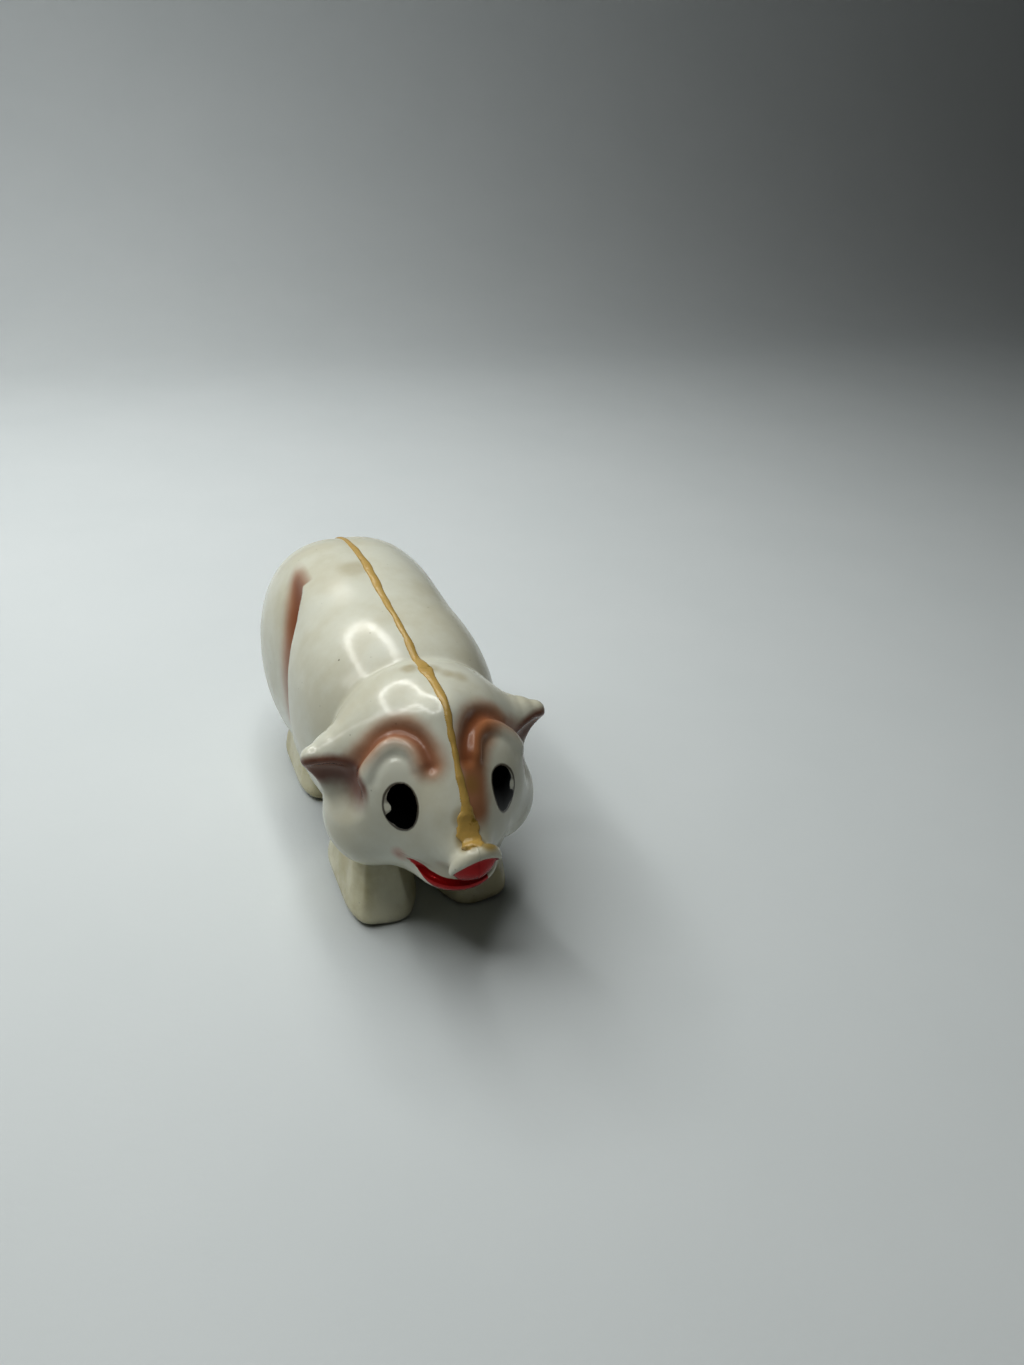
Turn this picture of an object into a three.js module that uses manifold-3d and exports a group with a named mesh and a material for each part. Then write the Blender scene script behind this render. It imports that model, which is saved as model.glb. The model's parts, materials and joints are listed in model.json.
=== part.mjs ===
// A ramp-walking toy pig: a hollow body moulded as two halves and cemented together on the
// middle plane, standing on four loose legs that swing on two cross pins inside the body.
// Millimetres. +Z is up, the pig looks along -Y, and its right side is -X.
import * as THREE from 'three';
import { mergeVertices } from 'three/addons/utils/BufferGeometryUtils.js';
import { ConvexGeometry } from 'three/addons/geometries/ConvexGeometry.js';
import Module from 'manifold-3d';

const wasm = await Module();
wasm.setup();

// Driving dimensions
const WALL = 1.8;                 // moulded wall of the body halves
const GAP = 0.3;                  // clearance between touching pieces
const BELLY_Z = 8;                // flat underside of the body

const AXLE_Z = 21;                // height of both cross pins
const AXLE_Y = { front: -13.5, rear: 17 };
const AXLE_RADIUS = 1;
const AXLE_HALF_LENGTH = 9.6;
const BOSS_RADIUS = 2.6;          // moulded boss that holds a pin end
const BOSS_INNER_X = 8.5;

const LEG_X = 6.4;                // middle of each leg, measured from the middle plane
const LEG_SWING = 12;             // degrees each way, from stop to stop
const LEG_SLOT_CLEARANCE = 0.7;
const FOOT_HALF_WIDTH = 5.8;
const FOOT_HALF_LENGTH = 10;
const FOOT_CORNER_REACH = 9.8;    // limits |x| + CORNER_SLOPE |y| and so cuts the corners off
const CORNER_SLOPE = 0.55;
const FOOT_INNER_CUT = 1.4;       // more is cut off the corners near the middle plane
const FOOT_TAPER_X = 2.9 / 14;    // narrowing for each millimetre of height
const FOOT_TAPER_Y = 5 / 14;
const FOOT_TOP_Z = 10.5;
const SOLE_ROUNDING = 1.1;
const SHANK_X = 5.3;
const SHANK_HALF_WIDTH = 2.3;
const SHANK_HALF_LENGTH = 2.8;
const SHANK_NARROW_Z = 14.5;
const SHANK_INSET = 0.4;
const HUB_RADIUS = 3;
const HUB_INNER_X = 0.5;

const BEAD_HALF_WIDTH = 0.65;     // cement bead along the joint
const BEAD_PROUD = 0.35;
const BEAD_DEPTH = 0.6;
const BEAD_POINTS = 90;

const SNOUT_Z = 20;
const SNOUT_DISC_CENTRE = [0, -38, 19.9];
const SNOUT_LEAN = 15;            // degrees that the disc faces below level
const SNOUT_GAP_Y = -32.8;        // no cement in front of this
const SNOUT_GAP_LOW_Z = 12;
const SNOUT_GAP_HIGH_Z = 24.6;
const EAR_CENTRE = [11, -17.8, 25.5];
const EAR_TIP = [15.3, -18.2, 27.4];
const EAR_HOLLOW = { centre: [16.4, -23.6, 24.3], radii: [6, 5.6, 4.3] };
const TAIL_CENTRE = [3.9, 37.3, 25.5];

// Rounded masses of the body. x is taken as |x|, so one entry serves both sides.
const TORSO = { centre: [0, 1.5, 21.8], radii: [14.4, 23.0, 16.0], power: 2.4 };
const HAUNCH = { centre: [3.5, 18.2, 21], radii: [11.2, 18.2, 16.4], power: 2.15 };
const REAR = { centre: [0, 17.5, 20.6], radii: [12.0, 20.6, 17.3], power: 2.2 };
const CRANIUM = { centre: [0, -17, 24.5], radii: [12, 11, 11.6], power: 2.2 };
const MUZZLE = { centre: [0, -24.5, 20.5], radii: [9, 8.5, 9.5], power: 2.2 };
const JOWL = { centre: [8.1, -19.8, 17.8], radii: [6.3, 7.4, 7], power: 2 };
const EYE_MOUND = { centre: [6.4, -24, 23.5], radii: [4.8, 4.8, 7], power: 2 };
const LOWER_LIP = { centre: [0, -29.6, 15.6], radii: [5.6, 5.8, 2.6], power: 2 };
const BROW_RIDGE = { from: [0, -23.5, 32.5], to: [0, -30.3, 24.5], radii: [3, 3] };
const SNOUT_ROOT = { from: [0, -28, 21], to: [0, -36.4, SNOUT_Z], radii: [5.2, 2.4] };
const EAR_RODS = [
  { from: [9, -17.8, 27.4], to: [12.8, -18, 27.1], radii: [4.2, 2.8] },
  { from: [12.8, -18, 27.1], to: EAR_TIP, radii: [2.8, 1.1] },
  { from: [11.2, -17.8, 24.4], to: EAR_TIP, radii: [2.6, 1] },
  { from: [11.8, -17.4, 21.4], to: EAR_TIP, radii: [1.7, 1] },
];
// Crease where each haunch starts: its y at three heights, and where it fades out.
const CREASE_LINE = new THREE.QuadraticBezierCurve(
  new THREE.Vector2(4.5, 10),
  new THREE.Vector2(-0.5, 24),
  new THREE.Vector2(13, 36),
);
const CREASE_DEPTH = 1.5;
const CREASE_FRONT = 1.4;
const CREASE_BACK = 3.5;
const TRUNK_CENTRE = new THREE.Vector3(0, 8, 21);
const HEAD_CENTRE = new THREE.Vector3(0, -20, 23);

const shellMaterial = new THREE.MeshStandardMaterial({ color: 0xe9e6dc, roughness: 0.22, metalness: 0 });
const legMaterial = new THREE.MeshStandardMaterial({ color: 0xd9d7c4, roughness: 0.3, metalness: 0 });
const cementMaterial = new THREE.MeshStandardMaterial({ color: 0xc39a3a, roughness: 0.35, metalness: 0 });
const steelMaterial = new THREE.MeshStandardMaterial({ color: 0x9a9c9e, roughness: 0.35, metalness: 1 });

// Signed fields: negative inside, in millimetres near the surface.
function ellipsoid({ centre, radii, power }, point) {
  const offsets = [Math.abs(point.x) - centre[0], point.y - centre[1], point.z - centre[2]];
  let sum = 0;
  let slope = 0;
  for (let axis = 0; axis < 3; axis += 1) {
    const share = Math.abs(offsets[axis] / radii[axis]) + 1e-9;
    sum += share ** power;
    slope += (share ** (power - 1) / radii[axis]) ** 2;
  }
  const size = sum ** (1 / power);
  return (size - 1) / (size ** (1 - power) * Math.sqrt(slope));
}

function taperedRod({ from, to, radii }, point) {
  const start = new THREE.Vector3(...from);
  const span = new THREE.Vector3(...to).sub(start);
  const offset = new THREE.Vector3(Math.abs(point.x), point.y, point.z).sub(start);
  const share = THREE.MathUtils.clamp(offset.dot(span) / span.lengthSq(), 0, 1);
  const radius = THREE.MathUtils.lerp(radii[0], radii[1], share);
  return offset.addScaledVector(span, -share).length() - radius;
}

function blend(a, b, width) {
  const share = THREE.MathUtils.clamp(0.5 + (0.5 * (b - a)) / width, 0, 1);
  return b * (1 - share) + a * share - width * share * (1 - share);
}

function creaseDepth(point) {
  const height = THREE.MathUtils.clamp((point.z - 10) / 26, 0, 1);
  const behind = point.y - CREASE_LINE.getPoint(height).x;
  const front = Math.exp(-((Math.min(behind, 0) / CREASE_FRONT) ** 2));
  const back = Math.exp(-Math.max(behind, 0) / CREASE_BACK);
  const side = THREE.MathUtils.smoothstep(Math.abs(point.x), 9, 11.5);
  const belly = THREE.MathUtils.smoothstep(point.z, 9, 13);
  return CREASE_DEPTH * front * back * side * belly;
}

function trunkField(point) {
  const hindquarters = blend(ellipsoid(HAUNCH, point), ellipsoid(REAR, point), 4);
  const topShare = THREE.MathUtils.clamp((point.z - 30) / 6, 0, 1);
  const barrel = blend(hindquarters, ellipsoid(TORSO, point), 1.5 + 3 * topShare);
  return -blend(-barrel, point.z - BELLY_Z, 3) + creaseDepth(point);
}

function headField(point) {
  let field = blend(ellipsoid(CRANIUM, point), ellipsoid(MUZZLE, point), 3);
  field = blend(field, ellipsoid(JOWL, point), 2.5);
  field = blend(field, taperedRod(BROW_RIDGE, point), 3);
  field = blend(field, ellipsoid(EYE_MOUND, point), 2.5);
  field = blend(field, taperedRod(SNOUT_ROOT, point), 3);
  return blend(field, ellipsoid(LOWER_LIP, point), 1.2);
}

function wholeField(point) {
  return blend(trunkField(point), headField(point), 1.5);
}

// Distance from centre, along direction, to where the field passes the level.
function reach(field, centre, direction, level) {
  const point = new THREE.Vector3();
  let inner = 0;
  let outer = 60;
  for (let step = 0; step < 40; step += 1) {
    const middle = (inner + outer) / 2;
    point.copy(centre).addScaledVector(direction, middle);
    if (field(point) < level) inner = middle;
    else outer = middle;
  }
  return (inner + outer) / 2;
}

// A sphere pulled out or in until it lies on the field's level surface.
function blob(field, centre, level, columns) {
  const geometry = new THREE.SphereGeometry(1, columns, Math.round(columns * 0.7));
  const position = geometry.getAttribute('position');
  const direction = new THREE.Vector3();
  for (let index = 0; index < position.count; index += 1) {
    direction.fromBufferAttribute(position, index).normalize();
    const distance = reach(field, centre, direction, level);
    direction.multiplyScalar(distance).add(centre);
    position.setXYZ(index, direction.x, direction.y, direction.z);
  }
  return geometry;
}

// three.js geometry to solid and back
function solid(geometry) {
  const bare = new THREE.BufferGeometry();
  bare.setAttribute('position', geometry.getAttribute('position').clone());
  if (geometry.index) bare.setIndex(geometry.index.clone());
  const merged = mergeVertices(bare, 1e-4);
  const mesh = new wasm.Mesh({
    numProp: 3,
    vertProperties: new Float32Array(merged.getAttribute('position').array),
    triVerts: new Uint32Array(merged.index.array),
  });
  return new wasm.Manifold(mesh);
}

function surface(body) {
  const mesh = body.getMesh();
  const geometry = new THREE.BufferGeometry();
  geometry.setAttribute('position', new THREE.BufferAttribute(new Float32Array(mesh.vertProperties), 3));
  geometry.setIndex(new THREE.BufferAttribute(new Uint32Array(mesh.triVerts), 1));
  const flat = geometry.toNonIndexed();
  flat.computeVertexNormals();
  return flat;
}

function box(low, high) {
  const geometry = new THREE.BoxGeometry(high[0] - low[0], high[1] - low[1], high[2] - low[2]);
  geometry.translate((low[0] + high[0]) / 2, (low[1] + high[1]) / 2, (low[2] + high[2]) / 2);
  return solid(geometry);
}

function crossRod(radius, lowX, highX, y, z) {
  const geometry = new THREE.CylinderGeometry(radius, radius, highX - lowX, 28);
  geometry.rotateZ(Math.PI / 2);
  geometry.translate((lowX + highX) / 2, y, z);
  return solid(geometry);
}

function mirrored(body) {
  return body.scale([-1, 1, 1]);
}

// Outline of the joint on the middle plane, drawn round the body at a level of the field.
function jointOutline(level) {
  const centre = new THREE.Vector3(0, -4, 21);
  const points = [];
  for (let index = 0; index < BEAD_POINTS; index += 1) {
    const angle = (index / BEAD_POINTS) * 2 * Math.PI;
    const direction = new THREE.Vector3(0, Math.cos(angle), Math.sin(angle));
    const distance = reach(wholeField, centre, direction, level);
    points.push(new THREE.Vector2(centre.y + direction.y * distance, centre.z + direction.z * distance));
  }
  return points;
}

// A band that follows the joint between two levels of the field, left open at the snout.
function jointBand(innerLevel, outerLevel, halfWidth) {
  const shape = new THREE.Shape(jointOutline(outerLevel));
  shape.holes.push(new THREE.Path(jointOutline(innerLevel)));
  const geometry = new THREE.ExtrudeGeometry(shape, { depth: 2 * halfWidth, bevelEnabled: false });
  geometry.translate(0, 0, -halfWidth);
  geometry.applyMatrix4(new THREE.Matrix4().makeBasis(
    new THREE.Vector3(0, 1, 0),
    new THREE.Vector3(0, 0, 1),
    new THREE.Vector3(1, 0, 0),
  ));
  return solid(geometry).subtract(box([-3, -60, SNOUT_GAP_LOW_Z], [3, SNOUT_GAP_Y, SNOUT_GAP_HIGH_Z]));
}

// Snout: a short flared tube that ends in a sunk disc facing a little down.
function snoutSolid() {
  const rim = [[0, 0.4], [2.5, 0.4], [2.75, 0], [3.1, 0.5], [3.15, 1.4], [2.8, 2.2], [3, 4], [0, 6]];
  const profile = rim.map(([radius, depth]) => new THREE.Vector2(radius, depth));
  const geometry = new THREE.LatheGeometry(profile, 28);
  geometry.rotateX(THREE.MathUtils.degToRad(SNOUT_LEAN));
  geometry.translate(...SNOUT_DISC_CENTRE);
  return solid(geometry);
}

function earField(point) {
  return EAR_RODS.map((rod) => taperedRod(rod, point)).reduce((a, b) => blend(a, b, 1));
}

// Left ear: a pointed fan with a hollow scooped out of its lower front.
function earSolid() {
  const fan = solid(blob(earField, new THREE.Vector3(...EAR_CENTRE), 0, 40));
  const scoop = new THREE.SphereGeometry(1, 24, 16);
  scoop.scale(...EAR_HOLLOW.radii);
  scoop.translate(...EAR_HOLLOW.centre);
  return fan.subtract(solid(scoop));
}

// Small curled tail moulded on the left side of the rump.
function tailSolid() {
  const geometry = new THREE.TorusGeometry(1.8, 0.75, 10, 24);
  geometry.rotateX(Math.PI / 2);
  geometry.translate(...TAIL_CENTRE);
  return solid(geometry);
}

function outerSolid() {
  const ear = earSolid();
  return solid(blob(trunkField, TRUNK_CENTRE, 0, 54))
    .add(solid(blob(headField, HEAD_CENTRE, 0, 36)))
    .add(snoutSolid())
    .add(ear)
    .add(mirrored(ear));
}

function cavitySolid() {
  return solid(blob(trunkField, TRUNK_CENTRE, -WALL, 40))
    .add(solid(blob(headField, HEAD_CENTRE, -WALL, 20)));
}

// Plan outline of a foot at one height: a rectangle with its corners cut off.
function footOutline(z, inset, soleInset) {
  const halfWidth = FOOT_HALF_WIDTH - FOOT_TAPER_X * z - inset;
  const halfLength = FOOT_HALF_LENGTH - FOOT_TAPER_Y * z - inset;
  const cornerReach = FOOT_CORNER_REACH - FOOT_TAPER_Y * z - inset * (1 + CORNER_SLOPE);
  const points = [];
  for (const side of [-1, 1]) {
    const reach = side < 0 ? cornerReach - FOOT_INNER_CUT : cornerReach;
    const outerInset = side < 0 ? 0 : soleInset;
    const corners = [
      [halfWidth, (reach - halfWidth) / CORNER_SLOPE],
      [reach - CORNER_SLOPE * halfLength, halfLength],
    ];
    for (const [x, y] of corners) {
      points.push(new THREE.Vector3(LEG_X + side * x - outerInset, -y, z));
      points.push(new THREE.Vector3(LEG_X + side * x - outerInset, y, z));
    }
  }
  return points;
}

// Foot points of a left leg with its pin at y = 0.
function footPoints(growth) {
  return [
    ...footOutline(0, SOLE_ROUNDING - growth, SOLE_ROUNDING),
    ...footOutline(SOLE_ROUNDING, -growth, 0),
    ...footOutline(FOOT_TOP_Z, -growth, 0),
  ];
}

// Shank points of a left leg, from the top of the foot up to the pin.
function shankPoints(growth) {
  const points = footOutline(FOOT_TOP_Z - 0.5, SHANK_INSET - growth, 0);
  const halfWidth = SHANK_HALF_WIDTH + growth;
  const halfLength = SHANK_HALF_LENGTH + growth;
  for (const z of [SHANK_NARROW_Z, AXLE_Z]) {
    for (const side of [-1, 1]) {
      points.push(new THREE.Vector3(SHANK_X + side * halfWidth, -halfLength, z));
      points.push(new THREE.Vector3(SHANK_X + side * halfWidth, halfLength, z));
    }
  }
  return points;
}

function legSolid(axleY) {
  const foot = solid(new ConvexGeometry(footPoints(0)));
  const shank = solid(new ConvexGeometry(shankPoints(0)));
  const hub = crossRod(HUB_RADIUS, HUB_INNER_X, BOSS_INNER_X - GAP, 0, AXLE_Z);
  const bore = crossRod(AXLE_RADIUS + GAP, -1, BOSS_INNER_X + 1, 0, AXLE_Z);
  return foot.add(shank).add(hub).subtract(bore).translate([0, axleY, 0]);
}

// Convex hull of a left leg's points at rest and at both stops.
function sweptHull(restPoints) {
  const pivot = new THREE.Vector3(0, 0, AXLE_Z);
  const axis = new THREE.Vector3(1, 0, 0);
  const points = [];
  for (const turn of [-LEG_SWING, 0, LEG_SWING]) {
    const angle = THREE.MathUtils.degToRad(turn);
    for (const corner of restPoints) {
      points.push(corner.clone().sub(pivot).applyAxisAngle(axis, angle).add(pivot));
    }
  }
  return solid(new ConvexGeometry(points));
}

// Slot that a left leg moves in.
function slotSolid(axleY) {
  const foot = sweptHull(footPoints(LEG_SLOT_CLEARANCE));
  const shank = sweptHull(shankPoints(LEG_SLOT_CLEARANCE));
  return foot.add(shank).translate([0, axleY, 0]);
}

// Left boss: a stub on the inside wall with a blind bore for the pin end.
function bossSolid(axleY, outer) {
  const stub = crossRod(BOSS_RADIUS, BOSS_INNER_X, 20, axleY, AXLE_Z).intersect(outer);
  const bore = crossRod(AXLE_RADIUS + GAP, 0, AXLE_HALF_LENGTH + GAP, axleY, AXLE_Z);
  return stub.subtract(bore);
}

// Left half of the body, with its pin bosses and leg slots.
function bodyHalfSolid() {
  const outer = outerSolid();
  let half = outer.subtract(cavitySolid());
  for (const axleY of Object.values(AXLE_Y)) {
    half = half.add(bossSolid(axleY, outer)).subtract(slotSolid(axleY));
  }
  half = half.intersect(box([GAP / 2, -60, -5], [40, 60, 60]));
  return half.subtract(jointBand(-BEAD_DEPTH - GAP, 8, BEAD_HALF_WIDTH + GAP));
}

function axleSolid(axleY) {
  return crossRod(AXLE_RADIUS, -AXLE_HALF_LENGTH, AXLE_HALF_LENGTH, axleY, AXLE_Z);
}

function addPiece(parent, name, body, material) {
  const mesh = new THREE.Mesh(surface(body), material);
  mesh.name = name;
  parent.add(mesh);
}

const pig = new THREE.Group();
const leftHalf = bodyHalfSolid();
addPiece(pig, 'body_left_half', leftHalf.add(tailSolid()), shellMaterial);
addPiece(pig, 'body_right_half', mirrored(leftHalf), shellMaterial);
addPiece(pig, 'seam_cement', jointBand(-BEAD_DEPTH, BEAD_PROUD, BEAD_HALF_WIDTH), cementMaterial);
for (const [place, axleY] of Object.entries(AXLE_Y)) {
  const leg = legSolid(axleY);
  addPiece(pig, `${place}_axle`, axleSolid(axleY), steelMaterial);
  addPiece(pig, `leg_${place}_left`, leg, legMaterial);
  addPiece(pig, `leg_${place}_right`, mirrored(leg), legMaterial);
}

export default pig;
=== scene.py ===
"""A ramp-walking toy pig in glossy moulded plastic, on a pale studio floor."""
import math

import bmesh
import bpy
import numpy as np
from mathutils import Matrix, Vector
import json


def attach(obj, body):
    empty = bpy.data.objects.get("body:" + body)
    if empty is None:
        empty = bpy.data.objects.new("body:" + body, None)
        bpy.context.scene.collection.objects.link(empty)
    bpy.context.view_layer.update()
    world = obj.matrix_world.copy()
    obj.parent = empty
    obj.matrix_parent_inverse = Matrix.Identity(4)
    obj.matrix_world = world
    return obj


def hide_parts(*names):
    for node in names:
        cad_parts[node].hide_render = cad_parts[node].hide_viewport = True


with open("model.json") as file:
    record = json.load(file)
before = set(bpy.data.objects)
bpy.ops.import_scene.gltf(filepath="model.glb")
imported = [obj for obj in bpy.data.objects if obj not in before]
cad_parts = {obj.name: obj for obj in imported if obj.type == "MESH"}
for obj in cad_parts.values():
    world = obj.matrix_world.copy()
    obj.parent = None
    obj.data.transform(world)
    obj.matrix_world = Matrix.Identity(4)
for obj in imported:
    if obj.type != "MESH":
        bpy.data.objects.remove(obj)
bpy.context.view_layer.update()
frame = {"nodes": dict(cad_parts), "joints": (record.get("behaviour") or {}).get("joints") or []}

# Shapes are worked out in millimetres and written to the meshes in metres.
MM = 0.001

# ---------------------------------------------------------------- driving dimensions
WALL = 1.8
SPLIT = 0.02                      # each half stops this far from the middle plane
RIGHT_EAR_DROOP = 1.3
BELLY_Z = 8.0
SNOUT_Z = 20.0
DISC_CENTRE = (-37.9, 19.35)      # y, z
DISC_RADII = (2.95, 2.45)
DISC_LEAN = math.radians(15)
DISC_TILT = 0.2                   # rise across the disc, from the right to the left
RIM_RADIUS = 3.15
RIM_HALF_DEPTH = 1.1
SLOT_CLEARANCE = 0.7              # between a leg and its slot, at the stops too
LEG_SWING = math.radians(12)
LEG_X = 6.4
FOOT_TAPER_HEIGHT = 14.0          # the foot's sizes taper over this height
CORNER_SLOPE = 0.55
CORNER_SHARE = 0.876              # turns the corner's measure into a distance
INNER_CORNER_CUT = 1.4            # the foot's corners near the middle plane are cut off more
BOSS_INNER_X = 8.5
BOSS_RADIUS = 2.6
HUB_RADIUS = 3.0
HUB_INNER_X = 0.5
BORE_RADIUS = 1.3
BORE_END_X = 9.9
TAIL_CENTRE = (3.9, 37.3, 25.5)

SHELL_CELL = 0.33                 # grid spacing for the body halves
LEG_CELL = 0.3
BEAD_CELL = 0.22


# ---------------------------------------------------------------- signed fields, x taken as |x|
def blend(a, b, width):
    share = np.clip(0.5 + 0.5 * (b - a) / width, 0, 1)
    return b * (1 - share) + a * share - width * share * (1 - share)


def cut(a, b, width):
    return -blend(-a, -b, width)


def ellipsoid(p, centre, radii, power=2.0):
    share = np.abs((p - np.array(centre)) / np.array(radii)) + 1e-6
    size = (share ** power).sum(-1) ** (1 / power)
    slope = (size[..., None] ** (1 - power)) * share ** (power - 1) / np.array(radii)
    return (size - 1) / np.linalg.norm(slope, axis=-1)


def rod(p, start, end, start_radius, end_radius):
    start = np.array(start, float)
    span = np.array(end, float) - start
    share = np.clip(((p - start) @ span) / (span @ span), 0, 1)
    away = np.linalg.norm(p - start - share[..., None] * span, axis=-1)
    return away - (start_radius + (end_radius - start_radius) * share)


def along_line(p, points, widths=None):
    """Distance to a polyline, less its local half-width; and how far along it, 0 to 1."""
    points = np.array(points, float)
    widths = np.zeros(len(points)) if widths is None else np.array(widths, float)
    best = np.full(p.shape[:-1], 1e9)
    place = np.zeros(p.shape[:-1])
    count = len(points) - 1
    for i in range(count):
        span = points[i + 1] - points[i]
        share = np.clip(((p - points[i]) @ span) / (span @ span), 0, 1)
        away = np.linalg.norm(p - points[i] - share[..., None] * span, axis=-1)
        away = away - (widths[i] + (widths[i + 1] - widths[i]) * share)
        nearer = away < best
        best = np.where(nearer, away, best)
        place = np.where(nearer, (i + share) / count, place)
    return best, place


def smooth_line(points, count):
    """Catmull-Rom curve through the points."""
    points = np.array(points, float)
    ends = np.vstack([2 * points[0] - points[1], points, 2 * points[-1] - points[-2]])
    out = []
    for k in range(count + 1):
        u = k / count * (len(points) - 1)
        i = min(int(u), len(points) - 2)
        t = u - i
        a, b, c, d = ends[i:i + 4]
        out.append(0.5 * (2 * b + (c - a) * t + (2 * a - 5 * b + 4 * c - d) * t ** 2
                          + (3 * b - a - 3 * c + d) * t ** 3))
    return np.array(out)


def bump(distance, width):
    return np.exp(-(distance / width) ** 2)


def gradient(field, p, step=0.05):
    sides = np.eye(3) * step
    return np.stack([field(p + s) - field(p - s) for s in sides], -1) / (2 * step)


def onto_surface(field, p, rounds=4):
    """Moves points along the field's gradient until they lie on its zero surface."""
    p = np.array(p, float)
    for _ in range(rounds):
        g = gradient(field, p)
        p = p - (field(p) / np.maximum((g * g).sum(-1), 0.2))[..., None] * g
    return p


# ---------------------------------------------------------------- body shape
def trunk(p):
    torso = ellipsoid(p, (0, 1.5, 21.8), (14.4, 23.0, 16.0), 2.4)
    haunch = ellipsoid(p, (3.5, 18.2, 21.0), (11.2, 18.2, 16.4), 2.15)
    rear = ellipsoid(p, (0, 17.5, 20.6), (12.0, 20.6, 17.3), 2.2)
    join = np.interp(p[..., 2], (30, 36), (1.5, 4.5))
    barrel = blend(blend(haunch, rear, 4), torso, join)
    return cut(barrel, BELLY_Z - p[..., 2], 3)


def plain_head(p):
    cranium = ellipsoid(p, (0, -17, 24.5), (12, 11, 11.6), 2.2)
    muzzle = ellipsoid(p, (0, -24.5, 20.5), (9, 8.5, 9.5), 2.2)
    jowl = ellipsoid(p, (8.1, -19.8, 17.8), (6.3, 7.4, 7.0))
    ridge = rod(p, (0, -23.5, 32.5), (0, -30.3, 24.5), 3, 3)
    mound = ellipsoid(p, (6.4, -24, 23.5), (4.8, 4.8, 7))
    d = blend(blend(cranium, muzzle, 3), jowl, 2.5)
    d = blend(blend(d, ridge, 3), mound, 2.5)
    snout = rod(p, (0, -28, 21), (0, -36.4, SNOUT_Z), 5.2, 2.4)
    return blend(d, snout, 3)


BROW = [(1.7, -29.1, 30.2), (2.0, -27.9, 31.5), (2.9, -26.4, 32.5), (4.3, -24.9, 32.8), (5.8, -23.8, 32.5),
        (7.5, -23.4, 31.5), (9.0, -23.5, 30.1), (10.3, -22.8, 27.8), (11.0, -22.3, 26.3)]
LID = [(3.0, -28.4, 30.2), (3.7, -27.2, 31.4), (4.8, -26.1, 32.0), (6.2, -25.2, 32.0), (7.7, -24.9, 31.1),
       (8.9, -25.0, 29.7), (9.8, -25.2, 27.8)]
LID_CREASE = [(4.0, -28.4, 29.0), (4.6, -27.6, 30.1), (5.3, -26.9, 30.6), (6.3, -26.3, 30.7),
              (7.5, -26.2, 30.1), (8.6, -26.5, 29.0), (9.3, -26.9, 27.6)]
MOUTH = [(7.3, -30.0, 17.6), (5.9, -31.2, 17.3), (4.3, -33.0, 16.8), (2.5, -34.6, 16.4), (0, -35.4, 16.1)]
LIP = [(7.2, -30.2, 17.4), (5.9, -31.4, 17.0), (4.3, -33.2, 16.1), (2.5, -34.8, 15.3), (0, -35.5, 14.9)]
LIP_WIDTHS = [0.2, 0.4, 0.8, 1.2, 1.3]
CREASE_Z = [10, 14, 20, 25, 29, 33, 36]
CREASE_Y = [4.5, 3.0, 2.5, 3.5, 5.5, 9.0, 13.0]
CREASE_DEPTH = 2.0
CREASE_START = {1: 10.8, -1: 9.0}
BROW_WASH = [(5.0, -25.8, 31.8), (3.2, -28.2, 30.4), (2.2, -30.4, 29.0), (1.9, -32.2, 27.2),
             (1.6, -33.6, 25.8)]


def face_lines(shift, inner_shift):
    """Brow, lid and crease lines of one side, moved outwards and laid on the head."""
    lines = []
    for points, count in ((BROW, 22), (LID, 16), (LID_CREASE, 14), (BROW_WASH, 8)):
        moved = smooth_line(points, count)
        moved[:, 0] += shift + inner_shift * np.exp(-(moved[:, 0] / 3.5) ** 2)
        lines.append(onto_surface(plain_head, moved))
    return lines


# The two halves were moulded and painted a little differently: side is 1 on the left, -1 on the right.
FACE_LINES = {1: face_lines(-0.3, 0.0), -1: face_lines(0.6, 1.3)}


def lipped_head(p):
    return blend(plain_head(p), ellipsoid(p, (0, -29.6, 15.6), (5.6, 5.8, 2.6)), 1.2)


mouth_line = onto_surface(lipped_head, smooth_line(MOUTH, 12))
lip_line = onto_surface(lipped_head, smooth_line(LIP, 12))
lip_widths = np.interp(np.linspace(0, 1, 13), np.linspace(0, 1, 5), LIP_WIDTHS)


def snout_place(p, side):
    """Across, up and ahead of the middle of the snout's disc, which faces a little down."""
    y, z = p[..., 1] - DISC_CENTRE[0], p[..., 2] - DISC_CENTRE[1]
    lean, level = math.sin(DISC_LEAN), math.cos(DISC_LEAN)
    return p[..., 0], -lean * y + level * z - side * DISC_TILT * p[..., 0], -level * y - lean * z


EAR_TIP = (15.3, -18.2, 28.0)
EAR_RODS = [((9.0, -17.8, 27.4), 4.2, (12.8, -18.0, 27.4), 2.8), ((12.8, -18.0, 27.4), 2.8, EAR_TIP, 1.1),
            ((11.2, -17.8, 24.4), 2.6, EAR_TIP, 1.0), ((11.8, -17.4, 21.4), 1.7, EAR_TIP, 1.0)]
SCOOP_EDGE_Z = (22.5, 26.0)       # the hollow's rim is soft on the cheek and crisp under the ear
SCOOP_ROUNDING = (1.6, 0.35)
EAR_EDGE = [(15.7, -19.2, 27.6), (13.4, -21.9, 27.3), (12.0, -23.2, 27.0)]


def ear_scoop(p):
    """The hollow in the front of the ear, between tip, temple and cheek."""
    return ellipsoid(p, (16.4, -23.6, 24.9), (6.0, 5.6, 4.3))


def ear(p):
    d = rod(p, *EAR_RODS[0][::2], *EAR_RODS[0][1::2])
    for start, start_radius, end, end_radius in EAR_RODS[1:]:
        d = blend(d, rod(p, start, end, start_radius, end_radius), 1.0)
    return d


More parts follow.
